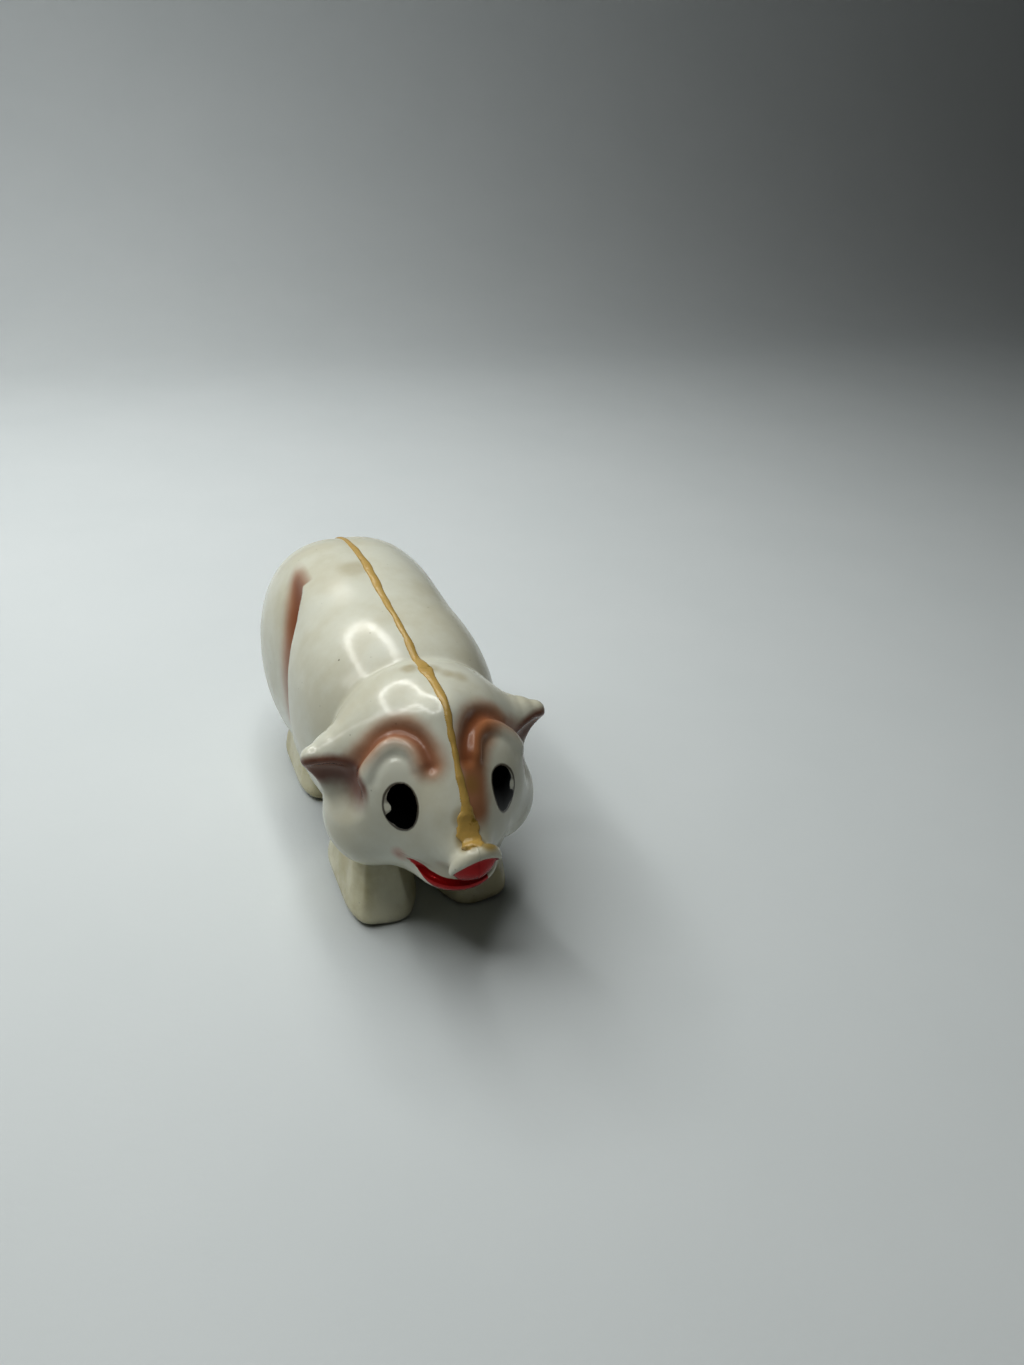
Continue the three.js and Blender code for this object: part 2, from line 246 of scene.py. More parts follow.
def head(p, side):
    d = lipped_head(p)
    d = blend(d, ear(p), 2)
    rounding = np.interp(p[..., 2], SCOOP_EDGE_Z, SCOOP_ROUNDING)
    d = cut(d, -ear_scoop(p), rounding)
    across, up, ahead = snout_place(p, side)
    rim_edge = np.hypot(across / 1.05, up - 0.5) - RIM_RADIUS
    rim = cut(rim_edge, np.abs(ahead + RIM_HALF_DEPTH) - RIM_HALF_DEPTH, 1.3)
    d = blend(d, rim, 0.8)
    near = (np.abs(d) < 3) & (p[..., 1] < -20)
    q = p[near]
    change = np.zeros(len(q))
    brow, lid, lid_crease = [along_line(q, line)[0] for line in FACE_LINES[side][:3]]
    change += 0.8 * bump(brow, 0.9)
    change -= 0.75 * bump(lid, 1.25)
    change += 0.22 * bump(lid_crease, 0.6)
    change += 0.45 * bump(along_line(q, mouth_line)[0], 0.45)
    across, up, ahead = snout_place(q, side)
    disc = np.hypot(across / DISC_RADII[0], up / DISC_RADII[1])
    change += 0.45 * np.clip((ahead + 2.2) / 0.8, 0, 1) * np.clip((1.1 - disc) / 0.2, 0, 1)
    d[near] += change
    return d


def haunch_crease(q, side):
    """How far a point lies behind the line where the haunch starts, and how deep the crease is there."""
    behind = q[..., 1] - np.interp(q[..., 2], CREASE_Z, CREASE_Y)
    from_top = np.clip((q[..., 0] - CREASE_START[side]) / 2.0, 0, 1)
    from_belly = np.clip((q[..., 2] - 9) / 4, 0, 1)
    strength = from_top ** 2 * (3 - 2 * from_top) * from_belly
    return behind, strength


def creased_trunk(q, side, front_width):
    """Trunk with the crease in front of the haunch: steep in front, gentle behind."""
    behind, strength = haunch_crease(q, side)
    steep = np.exp(-(np.minimum(behind, 0) / front_width) ** 2)
    gentle = np.exp(-np.maximum(behind, 0) / 3.5)
    return trunk(q) + CREASE_DEPTH * strength * steep * gentle


def outside(p, side=1):
    """Outer surface of a half, ears, snout and all the moulded detail included."""
    q = p.copy()
    q[..., 0] = np.abs(q[..., 0])
    return blend(creased_trunk(q, side, 0.8), head(q, side), 0.5)


def cavity(p, side):
    """Inside of a half. It follows the crease, more widely, so that the wall keeps its thickness there."""
    q = p.copy()
    q[..., 0] = np.abs(q[..., 0])
    return np.minimum(creased_trunk(q, side, 2.6), plain_head(q)) + WALL


# ---------------------------------------------------------------- legs
def leg_flanks(x, y, z, growth):
    """Tapered eight-sided foot; x is measured from the leg's middle."""
    share = z / FOOT_TAPER_HEIGHT
    width = 5.8 - 2.9 * share
    length = 10 - 5 * share
    corner = 9.8 - 5.2 * share - np.where(x < 0, INNER_CORNER_CUT, 0)
    edge = 0.35 + 1.6 * np.clip(1 - z / 4, 0, 1)
    d = np.abs(x) - width
    d = cut(d, np.abs(y) - length, edge)
    d = cut(d, (np.abs(x) + CORNER_SLOPE * np.abs(y) - corner) * CORNER_SHARE, edge)
    return d - growth


def foot(p, axle_y, growth=0.0):
    x, y, z = p[..., 0] - LEG_X, p[..., 1] - axle_y, p[..., 2]
    d = leg_flanks(x, y, z, growth)
    sole = -z + 0.12 * np.clip(x, 0, None)
    return cut(cut(d, z - 10.5 - growth, 0.6), sole - growth, 1.6)


def shank(p, axle_y, growth=0.0):
    x, y, z = p[..., 0] - 5.3, p[..., 1] - axle_y, p[..., 2]
    share = np.clip((z - 10) / 4.5, 0, 1)
    width = 3.3 + (2.3 - 3.3) * share
    length = 6.0 + (2.8 - 6.0) * share
    d = cut(np.abs(x - 0.5 * (1 - share)) - width, np.abs(y) - length, 0.8)
    return cut(cut(d, 9 - z, 0.5), z - 21, 0.5) - growth


def leg(p, axle_y):
    d = blend(foot(p, axle_y), shank(p, axle_y), 0.8)
    from_pin = np.hypot(p[..., 1] - axle_y, p[..., 2] - AXLE_Z)
    middle = (HUB_INNER_X + BOSS_INNER_X - 0.3) / 2
    half = (BOSS_INNER_X - 0.3 - HUB_INNER_X) / 2
    hub = cut(from_pin - HUB_RADIUS, np.abs(p[..., 0] - middle) - half, 0.4)
    d = blend(d, hub, 0.6)
    return np.maximum(d, BORE_RADIUS - from_pin)


def slot(p, axle_y):
    """Space that a leg sweeps between its stops, with clearance."""
    y, z = p[..., 1] - axle_y, AXLE_Z - p[..., 2]
    radius = np.hypot(y, z)
    angle = np.arctan2(y, z)
    angle = np.sign(angle) * np.maximum(np.abs(angle) - LEG_SWING, 0)
    q = np.stack([p[..., 0], axle_y + radius * np.sin(angle), AXLE_Z - radius * np.cos(angle)], -1)
    return np.minimum(foot(q, axle_y, SLOT_CLEARANCE), shank(q, axle_y, SLOT_CLEARANCE))


def joint_place(name):
    joint = next(j for j in frame["joints"] if j["name"] == name)
    return [v / MM for v in joint["pos_m"]]


AXLE_Z = joint_place("front_left_swing")[2]
AXLE_Y = {"front": joint_place("front_left_swing")[1], "rear": joint_place("rear_left_swing")[1]}


def tail(p):
    q = p - np.array(TAIL_CENTRE)
    return np.hypot(np.hypot(q[..., 0], q[..., 2]) - 1.8, q[..., 1]) - 0.75


def half_shell(p, side):
    out = outside(p, side)
    d = np.maximum(out, -cavity(p, side))
    for axle_y in AXLE_Y.values():
        from_pin = np.hypot(p[..., 1] - axle_y, p[..., 2] - AXLE_Z)
        stub = np.maximum(np.maximum(from_pin - BOSS_RADIUS, BOSS_INNER_X - p[..., 0]), out + 0.5)
        bore = np.maximum(from_pin - BORE_RADIUS, p[..., 0] - BORE_END_X)
        stub = np.maximum(stub, -bore)
        d = blend(d, stub, 0.5)
        d = cut(d, -slot(p, axle_y), 0.4)
    return blend(d, tail(p), 0.5) if side > 0 else d


# ---------------------------------------------------------------- meshing
CORNERS = [(0, 0, 0), (1, 0, 0), (0, 1, 0), (1, 1, 0), (0, 0, 1), (1, 0, 1), (0, 1, 1), (1, 1, 1)]
EDGES = [(a, b) for a in range(8) for b in range(a + 1, 8) if bin(a ^ b).count("1") == 1]


def surface_net(field, low, high, cell, slab=24):
    """Vertices and quads of a field's zero surface, on a regular grid, one vertex a cell."""
    low = np.array(low, float)
    count = np.ceil((np.array(high) - low) / cell).astype(int) + 1
    axes = [low[k] + cell * np.arange(count[k]) for k in range(3)]
    values = np.empty(count, np.float32)
    for start in range(0, count[1], slab):
        stop = min(start + slab, count[1])
        grid = np.stack(np.meshgrid(axes[0], axes[1][start:stop], axes[2], indexing="ij"), -1)
        shape = grid.shape[:3]
        values[:, start:stop] = field(grid.reshape(-1, 3)).reshape(shape)
    inside = values < 0
    last = [n - 1 for n in count]
    mixed = np.zeros(last, np.int8)
    for i, j, k in CORNERS:
        mixed += inside[i:last[0] + i, j:last[1] + j, k:last[2] + k]
    cells = np.argwhere((mixed > 0) & (mixed < 8))
    corner = np.stack([values[cells[:, 0] + i, cells[:, 1] + j, cells[:, 2] + k] for i, j, k in CORNERS], 1)
    total = np.zeros((len(cells), 3))
    crossings = np.zeros(len(cells))
    for a, b in EDGES:
        va, vb = corner[:, a], corner[:, b]
        split = (va < 0) != (vb < 0)
        share = np.where(split, va / np.where(split, va - vb, 1), 0)[:, None]
        place = np.array(CORNERS[a]) * (1 - share) + np.array(CORNERS[b]) * share
        total += place * split[:, None]
        crossings += split
    points = low + cell * (cells + total / crossings[:, None])
    number = np.full(last, -1, np.int64)
    number[tuple(cells.T)] = np.arange(len(cells))
    quads = []
    for axis in range(3):
        u, v = (axis + 1) % 3, (axis + 2) % 3
        first = np.take(inside, range(count[axis] - 1), axis)
        second = np.take(inside, range(1, count[axis]), axis)
        at = np.argwhere(first != second)
        at = at[(at[:, u] > 0) & (at[:, v] > 0) & (at[:, u] < last[u]) & (at[:, v] < last[v])]
        leaving = inside[tuple(at.T)]
        ring = []
        for du, dv in ((0, 0), (1, 0), (1, 1), (0, 1)):
            near = at.copy()
            near[:, u] -= du
            near[:, v] -= dv
            ring.append(number[tuple(near.T)])
        ring = np.stack(ring, 1)
        ring[~leaving] = ring[~leaving][:, ::-1]
        quads.append(ring)
    return points, np.concatenate(quads)


def mesh_object(name, points, faces):
    mesh = bpy.data.meshes.new(name)
    mesh.from_pydata((points * MM).tolist(), [], faces.tolist())
    mesh.polygons.foreach_set("use_smooth", np.ones(len(mesh.polygons), bool))
    mesh.update()
    piece = bpy.data.objects.new(name, mesh)
    bpy.context.scene.collection.objects.link(piece)
    return piece


def mesh_points(piece):
    flat = np.empty(len(piece.data.vertices) * 3)
    piece.data.vertices.foreach_get("co", flat)
    return flat.reshape(-1, 3) / MM


def set_attribute(piece, name, values):
    layer = piece.data.attributes.new(name, "FLOAT", "POINT")
    layer.data.foreach_set("value", np.asarray(values, np.float32))


def refined(field, points, cell, rounds=2):
    """Pulls net vertices onto the field's surface, each by no more than a part of a cell."""
    for _ in range(rounds):
        g = gradient(field, points, 0.04)
        move = -(field(points) / np.maximum((g * g).sum(-1), 0.3))[:, None] * g
        size = np.linalg.norm(move, axis=-1, keepdims=True)
        points = points + move * np.minimum(1, 0.35 * cell / np.maximum(size, 1e-6))
    return points


def split_at_middle(piece):
    """Cuts a left piece off at the middle plane and closes the cut."""
    bm = bmesh.new()
    bm.from_mesh(piece.data)
    everything = bm.verts[:] + bm.edges[:] + bm.faces[:]
    bmesh.ops.bisect_plane(bm, geom=everything, plane_co=(SPLIT * MM, 0, 0), plane_no=(1, 0, 0),
                           clear_inner=True)
    rim = [e for e in bm.edges if e.is_boundary]
    bmesh.ops.triangle_fill(bm, edges=rim, use_beauty=True, use_dissolve=False)
    bm.faces.ensure_lookup_table()
    for face in bm.faces:
        face.smooth = True
    bm.to_mesh(piece.data)
    bm.free()


def mirror_piece(piece, name):
    mesh = piece.data.copy()
    mesh.name = name
    mesh.transform(Matrix.Scale(-1, 4, (1, 0, 0)))
    mesh.flip_normals()
    copy = bpy.data.objects.new(name, mesh)
    bpy.context.scene.collection.objects.link(copy)
    return copy


def right_ear_drooped(points):
    """Lowers the right ear: the two are not quite level."""
    share = [np.clip((np.abs(points[:, 0]) - 10) / 6, 0, 1), np.clip((-11 - points[:, 1]) / 3, 0, 1),
             np.clip((points[:, 2] - 19) / 4, 0, 1)]
    moved = points.copy()
    moved[:, 2] -= RIGHT_EAR_DROOP * np.prod([v * v * (3 - 2 * v) for v in share], axis=0)
    return moved


# ---------------------------------------------------------------- painted regions
EYE_CENTRE = (6.6, -30.0, 25.2)
EYE_SHIFT = {1: -0.4, -1: 0.7}
WASH_INSET = {1: 0.0, -1: 3.5}
LIP_END = {1: 9.0, -1: 0.0}        # the left side of the lip is painted only near the middle


def eye_axes(side):
    """Eye centre on the face, with the outward and upward directions along its surface."""
    place = np.array([EYE_CENTRE]) + np.array([EYE_SHIFT[side], 0, 0])
    centre = onto_surface(plain_head, place)[0]
    normal = gradient(plain_head, centre[None])[0]
    normal /= np.linalg.norm(normal)
    up = np.array((0.07, 0.36, 0.93))
    up -= normal * (up @ normal)
    up /= np.linalg.norm(up)
    return centre, np.cross(up, normal), up


def flat_ellipse(u, v, centre, radii, turn=0.0):
    a, b = u - centre[0], v - centre[1]
    a, b = a * math.cos(turn) + b * math.sin(turn), b * math.cos(turn) - a * math.sin(turn)
    return (np.hypot(a / radii[0], b / radii[1]) - 1) * min(radii)


def flat_rod(u, v, start, end, start_radius, end_radius):
    p = np.stack([u, v, np.zeros_like(u)], -1)
    return rod(p, (*start, 0), (*end, 0), start_radius, end_radius)


def paint_fields(p, side):
    """Signed distances, in mm, to the painted regions; negative inside."""
    q = p.copy()
    q[:, 0] = np.abs(q[:, 0])
    centre, outward, up = eye_axes(side)
    u, v = (q - centre) @ outward, (q - centre) @ up
    far = np.where((q[:, 1] < -20) & (np.linalg.norm(q - centre, axis=1) < 8), 0, 50)
    socket = flat_ellipse(u, v, (0.05, 0), (2.2, 2.95), 0.06)
    pupil = flat_ellipse(u, v, (-0.1, 0.05), (1.95, 2.86), 0.05)
    corner = flat_rod(u, v, (0.1, -1.3), (2.25, -1.15), 1.3, 0.2)
    notch = flat_ellipse(u, v, (1.75, 0.25), (0.5, 0.8), -0.2)
    black = cut(blend(pupil, corner, 0.6), -notch, 0.2)
    brow = along_line(q, FACE_LINES[side][0])[0]
    haunch = haunch_crease(q, side)[0]
    top = np.clip((q[:, 0] - CREASE_START[side] + 1.4) / 2.2, 0, 1)
    bottom = np.clip((q[:, 2] - 10) / 5, 0, 1)
    under_ear = 1.2 * np.clip((27 - q[:, 2]) / 2, 0, 1) * np.clip((q[:, 0] - 10) / 2, 0, 1)
    lip = np.where(q[:, 1] < -29, along_line(q, lip_line, lip_widths)[0], 9)
    across, lift, ahead = snout_place(q, side)
    disc = (np.hypot(across / DISC_RADII[0], lift / DISC_RADII[1]) - 1) * DISC_RADII[1]
    return {
        "eye_socket": socket + far,
        "eye_black": black + far,
        "eye_glint": np.hypot(u - 1.75, v - 0.2) + far,
        "brow": brow,
        "brow_wash": along_line(q, FACE_LINES[side][3])[0] + WASH_INSET[side],
        "ear_hollow": ear_scoop(q) - under_ear,
        "ear_edge": along_line(q, np.array(EAR_EDGE))[0],
        "haunch": haunch,
        "haunch_paint": top * bottom * (0.75 + 0.25 * np.clip((q[:, 2] - 22) / 10, 0, 1)),
        "disc": np.where(ahead > -1.6, disc, 9),
        "lip": lip + LIP_END[side] * (q[:, 0] > 3),
        "mouth_smear": np.linalg.norm(q - np.array((7.6, -29.9, 17.9)), axis=1) + LIP_END[side],
    }


def build_half(name, side):
    def field(p):
        return half_shell(p, side)

    points, faces = surface_net(field, (-0.8, -39.6, 6.6), (17.6, 40.2, 39.8), SHELL_CELL)
    piece = mesh_object(name, refined(field, points, SHELL_CELL), faces)
    split_at_middle(piece)
    points = mesh_points(piece)
    for attribute, values in paint_fields(points, side).items():
        set_attribute(piece, attribute, values)
    if side < 0:
        points = right_ear_drooped(points)
        points[:, 0] *= -1
        piece.data.vertices.foreach_set("co", (points * MM).ravel())
        piece.data.flip_normals()
    piece.data.update()
    return piece


def build_leg(place, axle_y):
    low = (LEG_X - 6.2, axle_y - 10.8, -0.5)
    high = (LEG_X + 6.2, axle_y + 10.8, AXLE_Z + 3.8)
    points, faces = surface_net(lambda p: leg(p, axle_y), low, high, LEG_CELL)
    points = refined(lambda p: leg(p, axle_y), points, LEG_CELL)
    points[:, 2] = np.maximum(points[:, 2], 0)
    left = mesh_object(f"{place}_left_leg", points, faces)
    return left, mirror_piece(left, f"{place}_right_leg")


# ---------------------------------------------------------------- cement bead
# Lumps of cement on the snout bridge: x, y, z and radius
CRYSTALS = [(-0.2, -33.9, 24.5, 1.25), (0.4, -34.7, 24.0, 0.95), (-0.9, -35.0, 23.6, 0.95),
            (0.0, -35.7, 23.3, 1.1), (-0.7, -36.3, 22.8, 0.85), (0.6, -36.0, 23.0, 0.75),
            (0.1, -33.0, 25.3, 0.85), (0.3, -36.9, 22.6, 0.8), (1.3, -37.3, 22.3, 0.65),
            (-0.6, -37.2, 22.3, 0.6)]


def bead(p):
    x, y, z = p[:, 0], p[:, 1], p[:, 2]
    out = outside(p)
    along = y + 0.6 * z
    middle = 0.12 + 0.16 * np.sin(0.19 * along + 1.0) + 0.04 * np.sin(1.1 * along)
    half_width = 0.56 + 0.11 * np.sin(0.23 * along + 0.5) + 0.05 * np.sin(0.9 * along + 2 * z)
    neck = np.exp(-((y + 16.5) / 1.6) ** 2) * (z > 30)
    half_width = half_width + 0.3 * neck
    height = 0.27 - 0.1 * neck + 0.025 * np.sin(1.7 * along)
    d = (np.hypot((x - middle) / half_width, (out + 0.05) / height) - 1) * height
    snout = np.maximum(np.maximum(y + 33.3, 12.5 - z), z - 25.2)
    d = cut(d, -snout, 0.5)
    lumps = np.full(len(p), 9.0)
    for cx, cy, cz, radius in CRYSTALS:
        lump = np.sqrt((x - cx) ** 2 + (y - cy) ** 2 + (z - cz) ** 2) - radius
        lumps = blend(lumps, lump, 0.35)
    grain = 0.1 * np.sin(5.1 * x + 2.0 * z) * np.sin(4.3 * y)
    grain = grain + 0.07 * np.sin(9.0 * x + 3.0) * np.sin(8.1 * y + z)
    lumps = cut(lumps + grain, out - 0.24, 0.3)
    return blend(d, lumps, 0.4)


def build_bead():
    points, faces = surface_net(bead, (-2.6, -38.2, 6.6), (2.9, 40.0, 40.0), BEAD_CELL)
    return mesh_object("cement_bead", refined(bead, points, BEAD_CELL), faces)


# ---------------------------------------------------------------- material nodes
class Nodes:
    """Short forms for building one material's node tree."""

    def __init__(self, name):
        self.material = bpy.data.materials.new(name)
        self.material.use_nodes = True
        self.tree = self.material.node_tree
        self.shader = self.tree.nodes["Principled BSDF"]
        self.place = self.add("ShaderNodeTexCoord").outputs["Object"]

    def add(self, kind, settings=None, **inputs):
        made = self.tree.nodes.new(kind)
        for key, value in (settings or {}).items():
            setattr(made, key, value)
        for key, value in inputs.items():
            self.set(made.inputs[int(key[1:]) if key[0] == "i" and key[1:].isdigit() else key], value)
        return made

    def set(self, socket, value):
        if isinstance(value, bpy.types.NodeSocket):
            self.tree.links.new(value, socket)
        else:
            socket.default_value = value

    def attribute(self, name):
        return self.add("ShaderNodeAttribute", {"attribute_name": name}).outputs["Fac"]

    def math(self, operation, a, b=0.0, clamp=False):
        return self.add("ShaderNodeMath", {"operation": operation, "use_clamp": clamp}, i0=a, i1=b).outputs[0]

    def fade(self, value, start, end):
        """1 below start, 0 above end, smooth between."""
        made = self.add("ShaderNodeMapRange", {"interpolation_type": "SMOOTHSTEP"}, Value=value)
        for key, number in (("From Min", start), ("From Max", end), ("To Min", 1.0), ("To Max", 0.0)):
            made.inputs[key].default_value = number
        return made.outputs["Result"]

    def noise(self, scale, detail=4.0, roughness=0.55, place=None):
        made = self.add("ShaderNodeTexNoise", Vector=place or self.place, Scale=scale, Detail=detail,
                        Roughness=roughness)
        return made.outputs["Fac"]

    def mix(self, share, first, second, blend_type="MIX"):
        made = self.add("ShaderNodeMix", {"data_type": "RGBA", "blend_type": blend_type})
        self.set(made.inputs[0], share)
        for socket, value in ((made.inputs[6], first), (made.inputs[7], second)):
            self.set(socket, value if isinstance(value, bpy.types.NodeSocket) else (*value, 1))
        return made.outputs[2]

    def number_mix(self, share, first, second):
        return self.math("ADD", self.math("MULTIPLY", share, second),
                         self.math("MULTIPLY", self.math("SUBTRACT", 1.0, share), first))

    def near(self, point, radius, softness):
        """1 inside a small ball round a point given in millimetres, fading at its edge."""
        centre = tuple(v * MM for v in point)
        away = self.add("ShaderNodeVectorMath", {"operation": "DISTANCE"}, i0=self.place, i1=centre)
        return self.fade(away.outputs["Value"], radius * MM, (radius + softness) * MM)

    def bump(self, height, distance, strength=1.0, under=None):
        made = self.add("ShaderNodeBump", Height=height, Distance=distance, Strength=strength)
        if under:
            self.set(made.inputs["Normal"], under)
        return made.outputs["Normal"]

    def finish(self, **inputs):
        for key, value in inputs.items():
            self.set(self.shader.inputs[key.replace("_", " ")], value)
        return self.material


def linear(red, green, blue):
    """Linear colour from 0-255 display values."""
    shares = [value / 255 for value in (red, green, blue)]
    return tuple(v / 12.92 if v <= 10 / 255 else ((v + 0.055) / 1.055) ** 2.4 for v in shares)


IVORY = linear(202, 203, 190)
IVORY_SHADE = linear(192, 190, 172)
TERRACOTTA = linear(152, 100, 64)
TERRACOTTA_DARK = linear(118, 64, 38)
EAR_BROWN = linear(106, 50, 22)
BLACK = linear(4, 4, 4)
SNOUT_RED = linear(158, 16, 18)
SMEAR = linear(176, 84, 66)
MUSTARD = linear(134, 110, 34)
MUSTARD_DARK = linear(94, 70, 16)
MUSTARD_PALE = linear(176, 148, 84)
# dirt specks and dust on shell and legs; on the legs also painted shade in the concave creases
DIRT_AND_SHADE = linear(88, 78, 60)
OUTLINE = linear(58, 46, 34)
LEG_IVORY = linear(214, 211, 186)
LEG_SHADE = linear(184, 176, 140)


def shell_material():
    n = Nodes("ivory_shell")
    mottle = n.noise(70, 5, 0.6)
    base = n.mix(n.fade(mottle, 0.62, 0.36), IVORY, IVORY_SHADE)
    fine = n.noise(900, 3)

    ragged = n.noise(1500, 3)
    soft = n.noise(260, 3)
    wobble = n.math("MULTIPLY", n.math("SUBTRACT", ragged, 0.5), 0.25)
    ripple = n.math("MULTIPLY", wobble, 0.3)
    drift = n.math("MULTIPLY", n.math("SUBTRACT", soft, 0.5), 1.2)

    def edge(name, start, end, shift):
        return n.fade(n.math("ADD", n.attribute(name), shift), start, end)

    # airbrushed haunch crease, brow and ear
    behind = n.attribute("haunch")
    ahead = n.fade(n.math("SUBTRACT", 0.0, n.math("ADD", behind, drift)), 0.0, 0.7)
    ahead = n.math("MULTIPLY", ahead, n.attribute("haunch_paint"))
    spray = n.math("MULTIPLY", n.fade(n.math("ADD", behind, drift), 3.4, 8.0), ahead)
    colour = n.mix(n.math("MULTIPLY", spray, 0.85), base, TERRACOTTA)
    core = n.math("MULTIPLY", n.fade(behind, 2.0, 6.0), ahead)
    colour = n.mix(n.math("MULTIPLY", core, 0.75), colour, TERRACOTTA_DARK)
    wash = edge("brow_wash", 0.8, 3.4, drift)
    colour = n.mix(n.math("MULTIPLY", wash, 0.9), colour, TERRACOTTA)
    brow = edge("brow", 0.5, 3.1, drift)
    colour = n.mix(n.math("MULTIPLY", brow, 0.85), colour, TERRACOTTA)
    brow_core = edge("brow", 0.1, 1.1, wobble)
    colour = n.mix(n.math("MULTIPLY", brow_core, 0.7), colour, TERRACOTTA_DARK)
    ear = n.math("MULTIPLY", edge("ear_hollow", 0.4, 1.5, wobble), edge("ear_edge", 3.2, 5.8, drift))
    colour = n.mix(n.math("MULTIPLY", ear, 0.92), colour, EAR_BROWN)

    # yellow stain beside the joint and thin dirt
    for point, radius, softness, strength in STAINS:
        mask = n.math("MULTIPLY", n.near(point, radius, softness), strength)
        colour = n.mix(n.math("MULTIPLY", mask, n.math("ADD", soft, 0.4)), colour, MUSTARD)
    for point, radius in SPECKS:
        colour = n.mix(n.math("MULTIPLY", n.near(point, radius, 0.15), 0.8), colour, DIRT_AND_SHADE)
    dust = n.add("ShaderNodeTexVoronoi", Vector=n.place, Scale=420.0).outputs["Distance"]
    colour = n.mix(n.math("MULTIPLY", n.fade(dust, 0.02, 0.07), 0.35), colour, DIRT_AND_SHADE)

    # red snout disc and lip, smeared mouth corner
    colour = n.mix(n.math("MULTIPLY", edge("mouth_smear", 0.2, 1.7, drift), 0.5), colour, SMEAR)
    red = n.math("MAXIMUM", edge("disc", -0.05, 0.06, ripple), edge("lip", -0.05, 0.08, ripple))
    colour = n.mix(red, colour, SNOUT_RED)

    # eyes: black pupil with an unpainted notch, in a thin dark outline
    outline = n.math("ABSOLUTE", n.attribute("eye_socket"))
    outline = n.fade(n.math("ADD", outline, n.math("MULTIPLY", wobble, 0.5)), 0.05, 0.24)
    colour = n.mix(n.math("MULTIPLY", outline, 0.85), colour, OUTLINE)
    bare = n.fade(n.attribute("eye_socket"), -0.1, 0.1)
    bare = n.math("MULTIPLY", bare, n.fade(n.math("SUBTRACT", 0.0, n.attribute("eye_glint")), -0.75, -0.35))
    colour = n.mix(n.math("MULTIPLY", bare, n.math("MULTIPLY", ragged, 0.9)), colour, OUTLINE)
    black = edge("eye_black", -0.04, 0.05, wobble)
    black = n.math("MULTIPLY", black, n.fade(n.attribute("eye_socket"), 0.0, 0.1))
    colour = n.mix(black, colour, BLACK)

    painted = n.math("MAXIMUM", red, black)
    dense = n.math("MAXIMUM", black, n.math("MULTIPLY", red, 0.45))
    roughness = n.math("ADD", 0.14, n.math("MULTIPLY", mottle, 0.1))
    roughness = n.number_mix(n.math("MULTIPLY", brow, 0.5), roughness, 0.34)
    roughness = n.number_mix(painted, roughness, 0.16)
    surface = n.bump(n.noise(38, 2), 0.0004, 0.18)
    surface = n.bump(fine, 0.00002, 0.35, surface)
    surface = n.bump(painted, 0.00005, 0.6, surface)
    return n.finish(Base_Color=colour, Roughness=roughness, Normal=surface, IOR=1.43, Metallic=dense,
                    Subsurface_Weight=0.05,
                    Subsurface_Radius=(1.0, 0.85, 0.6), Subsurface_Scale=0.0008)


# Yellow stains beside the joint: place, radius, softness and strength. Dirt specks: place and radius.
STAINS = [((-1.8, 11.5, 37.6), 1.0, 2.2, 0.3), ((-1.6, -15.6, 35.8), 0.5, 1.2, 0.45),
          ((1.2, -16.6, 36.0), 0.4, 1.2, 0.45), ((4.2, -18.6, 35.2), 0.3, 1.4, 0.35),
          ((2.6, -18.0, 35.7), 0.3, 1.2, 0.35), ((1.4, -37.0, 22.9), 0.9, 0.8, 0.8),
          ((-0.4, -33.5, 24.8), 1.0, 0.9, 0.45), ((-0.6, -35.9, 23.4), 1.2, 1.0, 0.8),
          ((1.0, -31.0, 27.5), 0.6, 1.4, 0.5)]
SPECKS = [((-11.9, -24.2, 21.9), 0.12), ((-9.5, -21.8, 31.3), 0.14), ((-11.4, -21.0, 30.9), 0.1),
          ((-9.0, -8.0, 34.4), 0.06), ((-6.2, 2.0, 36.6), 0.06), ((7.2, -16.0, 34.2), 0.07),
          ((10.5, 6.0, 33.0), 0.08)]


def leg_material():
    n = Nodes("milky_leg")
    mottle = n.noise(110, 5, 0.6)
    colour = n.mix(n.fade(mottle, 0.65, 0.35), LEG_IVORY, LEG_SHADE)
    # painted shade: the legs' concave creases (low pointiness) are darkened towards the dirt colour
    edge = n.add("ShaderNodeNewGeometry").outputs["Pointiness"]
    painted_crease_shade = n.math("MULTIPLY", n.fade(edge, 0.42, 0.5), 0.5)
    colour = n.mix(painted_crease_shade, colour, DIRT_AND_SHADE)
    # darker in noisy patches on the lowest 2 mm of the feet, next to the floor
    height = n.add("ShaderNodeSeparateXYZ", Vector=n.place).outputs["Z"]
    low = n.math("MULTIPLY", n.fade(height, 0.0002, 0.002), n.noise(600, 3))
    colour = n.mix(n.math("MULTIPLY", low, 0.7), colour, DIRT_AND_SHADE)
    dust = n.add("ShaderNodeTexVoronoi", Vector=n.place, Scale=520.0).outputs["Distance"]
    colour = n.mix(n.math("MULTIPLY", n.fade(dust, 0.03, 0.08), 0.3), colour, DIRT_AND_SHADE)
    roughness = n.math("ADD", 0.13, n.math("MULTIPLY", mottle, 0.12))
    surface = n.bump(n.noise(90, 3), 0.0003, 0.35)
    surface = n.bump(n.noise(1100, 2), 0.00003, 0.3, surface)
    return n.finish(Base_Color=colour, Roughness=roughness, Normal=surface, IOR=1.5, Subsurface_Weight=0.35,
                    Subsurface_Radius=(1.0, 0.95, 0.6), Subsurface_Scale=0.003)


